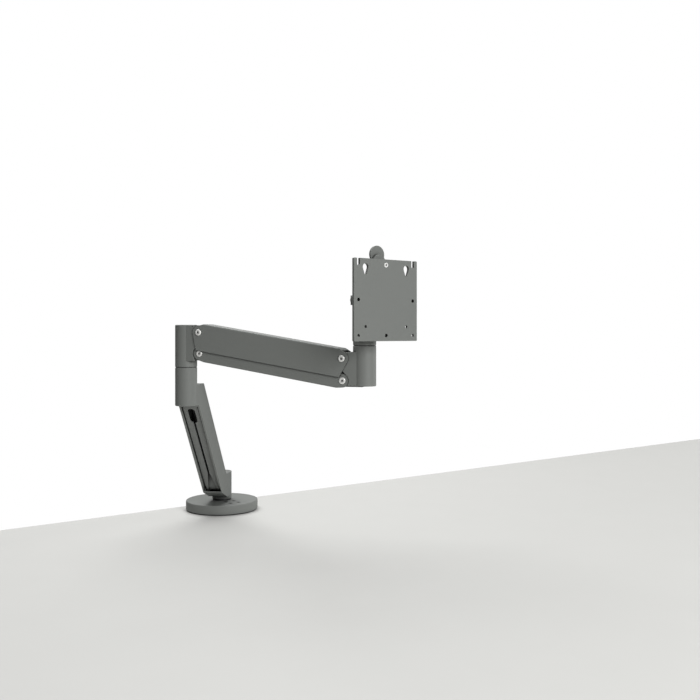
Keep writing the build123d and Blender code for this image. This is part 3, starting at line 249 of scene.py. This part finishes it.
def makePaint(name, dark, light, wearAndHighlight, rough, peel, edge, wearHighlightAmount, shadeAmount=paint["paintedShade"]):
    material, tree, shader = startFinish(name)
    grain = placeEffect(tree, "coatGrain", Peel_Scale=peel)
    edges = placeEffect(tree, "edgeWearHighlight", Radius=edge, Amount=wearHighlightAmount)
    paintedShade = placeEffect(tree, "cornerShade", Distance=paint["shadeReach"], Start=paint["shadeStart"],
                       Amount=shadeAmount)
    colour = mixColour(tree, grain.outputs["Shade"], dark, light)
    # edges lighter, partly wear and partly a painted edge highlight
    colour = mixColour(tree, edges.outputs["Mask"], colour, wearAndHighlight)
    hands = placeEffect(tree, "handling", Amount=paint["scratches"])
    colour = mixColour(tree, hands.outputs["Scratch"], colour, wearAndHighlight)
    # painted shade: inside corners, recesses and gaps between parts go towards near black
    colour = mixColour(tree, paintedShade.outputs["Mask"], colour, scaleColour(dark, shadeTone))
    tree.links.new(colour, shader.inputs["Base Color"])
    patchy = addMath(tree, "ADD", addMath(tree, "MULTIPLY", grain.outputs["Shade"], 0.5),
                     addMath(tree, "MULTIPLY", hands.outputs["Smear"], 0.5))
    tree.links.new(spreadValue(tree, patchy, *rough), shader.inputs["Roughness"])
    shader.inputs["Specular IOR Level"].default_value = paint["specular"]
    addBump(tree, shader, grain.outputs["Height"], paint["bump"], paint["peelTall"], edges.outputs["Normal"])
    return material


metal = {"wearHighlightAmount": 0.6, "shadeReach": 0.003, "shadeStart": 0.25, "paintedShade": 3.4, "bump": 0.15, "markTall": 0.00005}


def makeMetal(name, dark, light, rough, scale, edge, metallic=1.0):
    material, tree, shader = startFinish(name)
    marks = placeEffect(tree, "turnMarks", Scale=scale)
    edges = placeEffect(tree, "edgeWearHighlight", Radius=edge, Amount=metal["wearHighlightAmount"])
    paintedShade = placeEffect(tree, "cornerShade", Distance=metal["shadeReach"], Start=metal["shadeStart"],
                       Amount=metal["paintedShade"])
    colour = mixColour(tree, marks.outputs["Streak"], dark, light)
    # painted shade: hex sockets and other small hollows go dark
    colour = mixColour(tree, paintedShade.outputs["Mask"], colour, scaleColour(dark, shadeTone))
    tree.links.new(colour, shader.inputs["Base Color"])
    tree.links.new(spreadValue(tree, marks.outputs["Streak"], *rough), shader.inputs["Roughness"])
    shader.inputs["Metallic"].default_value = metallic
    addBump(tree, shader, marks.outputs["Height"], metal["bump"], metal["markTall"], edges.outputs["Normal"])
    return material


plastic = {"grit": 0.8, "edge": 0.0005, "wearHighlightAmount": 0.5, "wearAndHighlight": 1.3, "shadeStart": 0.2, "paintedShade": 2.4,
           "grainTall": 0.0002}


def makePlastic(name, dark, light, rough, peel, bump):
    material, tree, shader = startFinish(name)
    grain = placeEffect(tree, "coatGrain", Peel_Scale=peel, Grit=plastic["grit"])
    edges = placeEffect(tree, "edgeWearHighlight", Radius=plastic["edge"], Amount=plastic["wearHighlightAmount"])
    paintedShade = placeEffect(tree, "cornerShade", Start=plastic["shadeStart"], Amount=plastic["paintedShade"])
    colour = mixColour(tree, grain.outputs["Shade"], dark, light)
    # edges lighter, partly wear and partly a painted edge highlight
    colour = mixColour(tree, edges.outputs["Mask"], colour, scaleColour(light, plastic["wearAndHighlight"]))
    # painted shade: the gaps round the cover and other recesses go dark
    colour = mixColour(tree, paintedShade.outputs["Mask"], colour, scaleColour(dark, shadeTone))
    tree.links.new(colour, shader.inputs["Base Color"])
    tree.links.new(spreadValue(tree, grain.outputs["Shade"], *rough), shader.inputs["Roughness"])
    addBump(tree, shader, grain.outputs["Height"], bump, plastic["grainTall"], edges.outputs["Normal"])
    return material


paintTones = (paint["dark"], paint["light"], paint["wearAndHighlight"])
finishes = {
    "painted_casting": makePaint("castingPaint", *paintTones, (0.46, 0.60), 700.0, 0.0009, 1.5),
    "painted_steel": makePaint("steelPaint", *paintTones, (0.44, 0.58), 1000.0, 0.0004, 1.0),
    "moulded_cover": makePlastic("coverPlastic", (0.128, 0.134, 0.128), (0.160, 0.166, 0.158),
                                 (0.48, 0.60), 1400.0, 0.35),
    "bearing_plastic": makePlastic("bearingPlastic", (0.018, 0.018, 0.018), (0.030, 0.030, 0.029),
                                   (0.40, 0.55), 1200.0, 0.15),
    "pad_rubber": makePlastic("padRubber", (0.016, 0.016, 0.016), (0.030, 0.030, 0.030),
                              (0.78, 0.92), 1100.0, 0.5),
    "bright_steel": makeMetal("zincSteel", (0.76, 0.76, 0.74), (0.90, 0.90, 0.88),
                              (0.40, 0.54), 1500.0, 0.0003, 0.5),
    "inner_steel": makeMetal("innerSteel", (0.42, 0.42, 0.41), (0.58, 0.58, 0.57),
                             (0.30, 0.46), 1800.0, 0.0003),
    "dark_steel": makeMetal("blackenedSteel", (0.016, 0.016, 0.017), (0.040, 0.040, 0.042),
                            (0.40, 0.55), 1600.0, 0.0003, 0.6),
    "rod_chrome": makeMetal("rodChrome", (0.74, 0.74, 0.75), (0.84, 0.84, 0.85),
                            (0.05, 0.12), 2600.0, 0.0002),
    "spring_black": makePaint("springPaint", (0.012, 0.012, 0.012), (0.020, 0.020, 0.020),
                              (0.07, 0.07, 0.07), (0.20, 0.30), 800.0, 0.0004, 0.8),
}
print("finishes", len(finishes))

for part in frame["record"]["subparts"]:
    target = nodes[part["node"]]
    target.data.materials.clear()
    target.data.materials.append(finishes[part["material_slot"]])
nodes["tilt_axle"].data.materials[0] = finishes["painted_steel"]  # painted over together with its nuts
# the disc takes less painted shade, so the desk beside it does not darken the foot of its side
discPaint = makePaint("discPaint", *paintTones, (0.46, 0.60), 700.0, 0.0009, 1.5, paint["discShade"])
nodes["base_disc"].data.materials[0] = discPaint


# pieces that stand for plain CAD solids, each built round its own Z axis and then put in place

def stackLoops(mesh, loops, points, place=Matrix.Identity(4), closed=False):
    # bridges a row of (radius, height, corners) loops, where corners is 0 for a round one
    apart = 0.02  # the loops' spacing while they are bridged, because level ones may twist
    rings = []
    for index, (radius, _, corners) in enumerate(loops):
        before = set(mesh.edges)
        bmesh.ops.create_circle(mesh, cap_ends=False, segments=corners or points, radius=radius,
                                matrix=Matrix.Translation((0, 0, index * apart)))
        if corners:
            sides = [edge for edge in mesh.edges if edge not in before]
            bmesh.ops.subdivide_edges(mesh, edges=sides, cuts=points // corners - 1)
        rings.append([edge for edge in mesh.edges if edge not in before])
    pairs = list(zip(rings, rings[1:]))
    if closed:
        pairs.append((rings[-1], rings[0]))
    for lower, upper in pairs:
        bmesh.ops.bridge_loops(mesh, edges=lower + upper)
    if not closed:
        bmesh.ops.edgeloop_fill(mesh, edges=rings[0])
        bmesh.ops.edgeloop_fill(mesh, edges=rings[-1])
    for index, (ring, (_, height, _)) in enumerate(zip(rings, loops)):
        ringVerts = list({vert for edge in ring for vert in edge.verts})
        level = Matrix.Translation((0, 0, height - index * apart))
        bmesh.ops.transform(mesh, matrix=place @ level, verts=ringVerts)


def facingPlace(place, facing):
    return Matrix.Translation(place) @ Vector(facing).to_track_quat("Z", "Y").to_matrix().to_4x4()


sharpFrom = math.radians(32)  # edges that turn further than this stay crisp


def finishPiece(mesh, name, slot, body, replaced):
    bmesh.ops.remove_doubles(mesh, verts=mesh.verts, dist=1e-6)
    bmesh.ops.recalc_face_normals(mesh, faces=mesh.faces)
    for face in mesh.faces:
        face.smooth = True
    data = bpy.data.meshes.new(name)
    mesh.to_mesh(data)
    mesh.free()
    data.set_sharp_from_angle(angle=sharpFrom)
    data.materials.append(finishes[slot])
    piece = bpy.data.objects.new(name, data)
    scene.collection.objects.link(piece)
    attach(piece, body)
    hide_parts(replaced)
    print(name, len(data.polygons), "faces")


# upper and lower give where the shoulder and the head start, and how tall the head is
pivotScrew = {"head": 0.0050, "shoulder": 0.0035, "shank": 0.0025, "shankEnd": 0.0076, "endRound": 0.0005,
              "endPart": 0.8, "socket": 0.0022, "socketSides": 6, "socketDepth": 0.0019,
              "socketLead": 0.0003, "socketStep": 0.0002, "floorPart": 0.4, "drillPoint": 0.0003,
              "rim": 0.00015, "upper": (0.0152, 0.0171, 0.0020),
              "lower": (0.0122, 0.0140, 0.0011), "drop": 0.0325, "points": 36,
              "dome": [(1.0, 0.35), (0.965, 0.60), (0.89, 0.82), (0.78, 0.96), (0.68, 1.0)]}


def addPivotScrew(mesh, place, facing, ear, seat, tall):
    wide, shank, shoulder = pivotScrew["head"], pivotScrew["shank"], pivotScrew["shoulder"]
    socket, rim, end = pivotScrew["socket"], pivotScrew["rim"], pivotScrew["shankEnd"]
    top, floor = seat + tall, seat + tall - pivotScrew["socketDepth"]
    sides = pivotScrew["socketSides"]
    loops = [(shank * pivotScrew["endPart"], end, 0), (shank, end + pivotScrew["endRound"], 0), (shank, ear, 0),
             (shoulder, ear, 0), (shoulder, seat, 0), (wide - rim, seat, 0), (wide, seat + rim, 0)]
    loops += [(wide * part, seat + tall * rise, 0) for part, rise in pivotScrew["dome"]]
    loops += [(socket + pivotScrew["socketLead"], top, 0), (socket, top - pivotScrew["socketStep"], sides),
              (socket, floor, sides), (socket * pivotScrew["floorPart"], floor - pivotScrew["drillPoint"], 0)]
    stackLoops(mesh, loops, pivotScrew["points"], facingPlace(place, facing))


across = -Vector(joints["arm_lift"]["axis"])
pivotPlaces = [
    ("elbowPivotScrewSet", "elbow", "elbow_pivot_screws", joints["arm_lift"]["pos_m"]),
    ("headPivotScrewSet", "head_knuckle", "head_pivot_screws", joints["head_level"]["pos_m"]),
]
for name, body, replaced, pivot in pivotPlaces:
    screwMesh = bmesh.new()
    upper = Vector(pivot)
    lower = upper - Vector((0, 0, pivotScrew["drop"]))
    for facing in (across, -across):
        addPivotScrew(screwMesh, upper, facing, *pivotScrew["upper"])
        addPivotScrew(screwMesh, lower, facing, *pivotScrew["lower"])
    finishPiece(screwMesh, name, "bright_steel", body, replaced)

tiltNut = {"corner": 0.0096, "face": 0.0066, "bore": 0.0051, "thick": 0.0065, "break": 0.0007,
           "innerLead": 0.0003, "outerLead": 0.0005, "sides": 4, "turn": 45, "points": 48}
low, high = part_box("tilt_nuts")
nutMiddle = (low + high) / 2
nutMesh = bmesh.new()
inner = (high.x - low.x) / 2 - tiltNut["thick"]
outer = inner + tiltNut["thick"]
nutTurn = Matrix.Rotation(math.radians(tiltNut["turn"]), 4, "Z")
for side in (1, -1):
    stackLoops(nutMesh, [
        (tiltNut["bore"], inner + tiltNut["innerLead"], 0),
        (tiltNut["bore"] + tiltNut["innerLead"], inner, 0), (tiltNut["face"], inner, 0),
        (tiltNut["corner"], inner + tiltNut["break"], tiltNut["sides"]),
        (tiltNut["corner"], outer - tiltNut["break"], tiltNut["sides"]),
        (tiltNut["face"], outer, 0), (tiltNut["bore"] + tiltNut["outerLead"], outer, 0),
        (tiltNut["bore"], outer - tiltNut["outerLead"], 0)],
        tiltNut["points"], facingPlace(nutMiddle, (side, 0, 0)) @ nutTurn, True)
finishPiece(nutMesh, "tiltNutPair", "painted_steel", "tilt_head", "tilt_nuts")

clampScrew = {"crest": 0.0050, "root": 0.0041, "pitch": 0.0015, "sides": 24, "head": 0.0080,
              "headTall": 0.0140, "tip": 0.0039, "tipTall": 0.0075, "tipRound": 0.0010, "gap": 0.0001,
              "neckUnder": 0.0010, "neckOver": 0.0020, "neckTop": 0.0040, "points": 48,
              "headRound": [(0.0022, 0.0), (0.0008, 0.0003), (0.0, 0.0012)],
              "ridge": [("root", 0.0), ("crest", 0.38), ("crest", 0.52), ("root", 0.90), ("root", 1.0)]}
low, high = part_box("clamp_screw")
screwAxis = Vector(((low.x + high.x) / 2, (low.y + high.y) / 2, 0))
threadLow, threadHigh = low.z + clampScrew["headTall"], high.z - clampScrew["tipTall"]
turns = int((threadHigh - threadLow) / clampScrew["pitch"]) - 1
clampMesh = bmesh.new()
ridgeVerts = [clampMesh.verts.new((clampScrew[level], 0, threadLow + part * clampScrew["pitch"]))
              for level, part in clampScrew["ridge"]]
ridgeEdges = [clampMesh.edges.new(pair) for pair in zip(ridgeVerts, ridgeVerts[1:])]
bmesh.ops.spin(clampMesh, geom=ridgeVerts + ridgeEdges, cent=(0, 0, 0), axis=(0, 0, 1),
               dvec=(0, 0, clampScrew["pitch"] / clampScrew["sides"]), angle=2 * math.pi * turns,
               steps=clampScrew["sides"] * turns, use_merge=False)
bmesh.ops.remove_doubles(clampMesh, verts=clampMesh.verts, dist=1e-6)
bmesh.ops.holes_fill(clampMesh, edges=[edge for edge in clampMesh.edges if edge.is_boundary], sides=0)
headRound = clampScrew["headRound"]
headLoops = [(clampScrew["head"] - inset, low.z + rise, 0) for inset, rise in headRound]
headLoops += [(clampScrew["head"] - inset, threadLow - rise, 0) for inset, rise in headRound[::-1]]
stackLoops(clampMesh, headLoops, clampScrew["points"])
stackLoops(clampMesh, [
    (clampScrew["root"], threadLow - clampScrew["neckUnder"], 0),
    (clampScrew["root"], threadLow + clampScrew["neckOver"], 0)], clampScrew["points"])
neckEnd = threadHigh - clampScrew["gap"]  # just clear of the pad that it turns in
stackLoops(clampMesh, [
    (clampScrew["root"], threadHigh - clampScrew["neckTop"], 0), (clampScrew["root"], neckEnd, 0),
    (clampScrew["tip"], neckEnd, 0), (clampScrew["tip"], high.z - clampScrew["tipRound"], 0),
    (clampScrew["tip"] - clampScrew["tipRound"], high.z, 0)], clampScrew["points"])
bmesh.ops.translate(clampMesh, vec=screwAxis, verts=clampMesh.verts)
finishPiece(clampMesh, "clampScrewThread", "bright_steel", "clamp_screw", "clamp_screw")


def addRibbedPad(mesh, pad, low, high, ribsUp):
    # a flat moulded pad with ring grooves on the side that grips the desk
    grip, back = (high, low) if ribsUp else (low, high)
    inward = -1 if ribsUp else 1
    deep = grip + inward * pad["groove"]
    edge, slope = pad["edge"], pad["slope"]
    loops = [(pad["middle"], grip, 0)]
    radius = pad["first"]
    while radius + pad["step"] < pad["radius"]:
        loops += [(radius, grip, 0), (radius + slope, deep, 0),
                  (radius + pad["wide"] - slope, deep, 0), (radius + pad["wide"], grip, 0)]
        radius += pad["step"]
    loops += [(pad["radius"] - edge, grip, 0), (pad["radius"], grip + inward * edge, 0),
              (pad["radius"], back - inward * edge, 0), (pad["radius"] - edge, back, 0),
              (pad["middle"], back, 0)]
    stackLoops(mesh, loops, pad["points"])


basePad = {"radius": 0.06175, "middle": 0.0040, "first": 0.0080, "step": 0.0070, "wide": 0.0030,
           "groove": 0.0007, "slope": 0.0004, "edge": 0.0003, "points": 96}
low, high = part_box("base_pad")
padMesh = bmesh.new()
addRibbedPad(padMesh, basePad, low.z, high.z, False)
finishPiece(padMesh, "basePadRibbed", "pad_rubber", "base", "base_pad")

clampRubber = {"radius": 0.0205, "middle": 0.0020, "first": 0.0040, "step": 0.0045, "wide": 0.0022,
               "groove": 0.0007, "slope": 0.0004, "edge": 0.0003, "points": 72}
low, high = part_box("clamp_pad_rubber")
padMesh = bmesh.new()
addRibbedPad(padMesh, clampRubber, low.z, high.z, True)
rubberAxis = Vector(((low.x + high.x) / 2, (low.y + high.y) / 2, 0))
bmesh.ops.translate(padMesh, vec=rubberAxis, verts=padMesh.verts)
finishPiece(padMesh, "clampRubberRibbed", "pad_rubber", "clamp_pad", "clamp_pad_rubber")


# camera, light and stage

view = {"place": (-0.7864, -1.4006, 0.314), "turn": -37.5, "lens": 45.77, "sensor": 36.0,
        "shift": -17 / 700, "far": 50.0}
cameraData = bpy.data.cameras.new("camera")
cameraData.lens = view["lens"]
cameraData.sensor_width = view["sensor"]
cameraData.shift_y = view["shift"]
cameraData.clip_end = view["far"]
camera = bpy.data.objects.new("camera", cameraData)
camera.location = view["place"]
camera.rotation_euler = (math.radians(90), 0, math.radians(view["turn"]))
scene.collection.objects.link(camera)
scene.camera = camera

lightAim = Vector((-0.05, -0.2, 0.2))
light = {
    "front": {"place": (-0.1, -2.6, 1.0), "size": 1.2, "power": 49.0},
    "back": {"place": (0.25, 0.85, 2.3), "size": 2.6, "power": 94.0},
    "right": {"place": (2.4, -0.5, 0.7), "size": 1.0, "power": 13.0},
    "left": {"place": (-2.4, -0.9, 0.9), "size": 1.2, "power": 0.8},
}
for name, lamp in light.items():
    lampData = bpy.data.lights.new(name, "AREA")
    lampData.energy = lamp["power"]
    lampData.size = lamp["size"]
    lampObject = bpy.data.objects.new(name, lampData)
    lampObject.location = lamp["place"]
    lampObject.rotation_euler = (lightAim - Vector(lamp["place"])).to_track_quat("-Z", "Y").to_euler()
    scene.collection.objects.link(lampObject)

room = {"colour": (1.0, 1.0, 1.0, 1.0), "fill": 0.12}  # white behind the arm, and a dim fill on it
world = bpy.data.worlds.new("room")
scene.world = world
world.use_nodes = True
worldTree = world.node_tree
glow = worldTree.nodes["Background"]
rays = addNode(worldTree, "ShaderNodeLightPath")
glow.inputs["Color"].default_value = room["colour"]
brightness = addMath(worldTree, "MAXIMUM", rays.outputs["Is Camera Ray"], room["fill"])
worldTree.links.new(brightness, glow.inputs["Strength"])
scene.view_settings.view_transform = "Standard"

desk = {"back": 0.063, "front": -1.6, "half": 1.8, "thick": 0.0248, "round": 0.0015, "grain": 500.0,
        "dark": (0.510, 0.510, 0.494), "light": (0.536, 0.536, 0.520), "rough": 0.6, "specular": 0.2}
deskMesh = bmesh.new()
bmesh.ops.create_cube(deskMesh, size=1.0)
deskSize = (2 * desk["half"], desk["back"] - desk["front"], desk["thick"])
deskMiddle = (0, (desk["back"] + desk["front"]) / 2, -desk["thick"] / 2)
bmesh.ops.scale(deskMesh, vec=deskSize, verts=deskMesh.verts)
bmesh.ops.translate(deskMesh, vec=deskMiddle, verts=deskMesh.verts)
bmesh.ops.bevel(deskMesh, geom=deskMesh.edges[:], offset=desk["round"], offset_type="OFFSET", affect="EDGES",
                segments=3, profile=0.5, material=-1)
deskData = bpy.data.meshes.new("desk")
deskMesh.to_mesh(deskData)
deskMesh.free()
deskTop = bpy.data.objects.new("desk", deskData)
scene.collection.objects.link(deskTop)
deskFinish, deskTree, deskShader = startFinish("deskLaminate")
deskGrain = placeEffect(deskTree, "coatGrain", Peel_Scale=desk["grain"])
deskColour = mixColour(deskTree, deskGrain.outputs["Shade"], desk["dark"], desk["light"])
deskTree.links.new(deskColour, deskShader.inputs["Base Color"])
deskShader.inputs["Roughness"].default_value = desk["rough"]
deskShader.inputs["Specular IOR Level"].default_value = desk["specular"]
deskData.materials.append(deskFinish)
print("camera, light and desk")
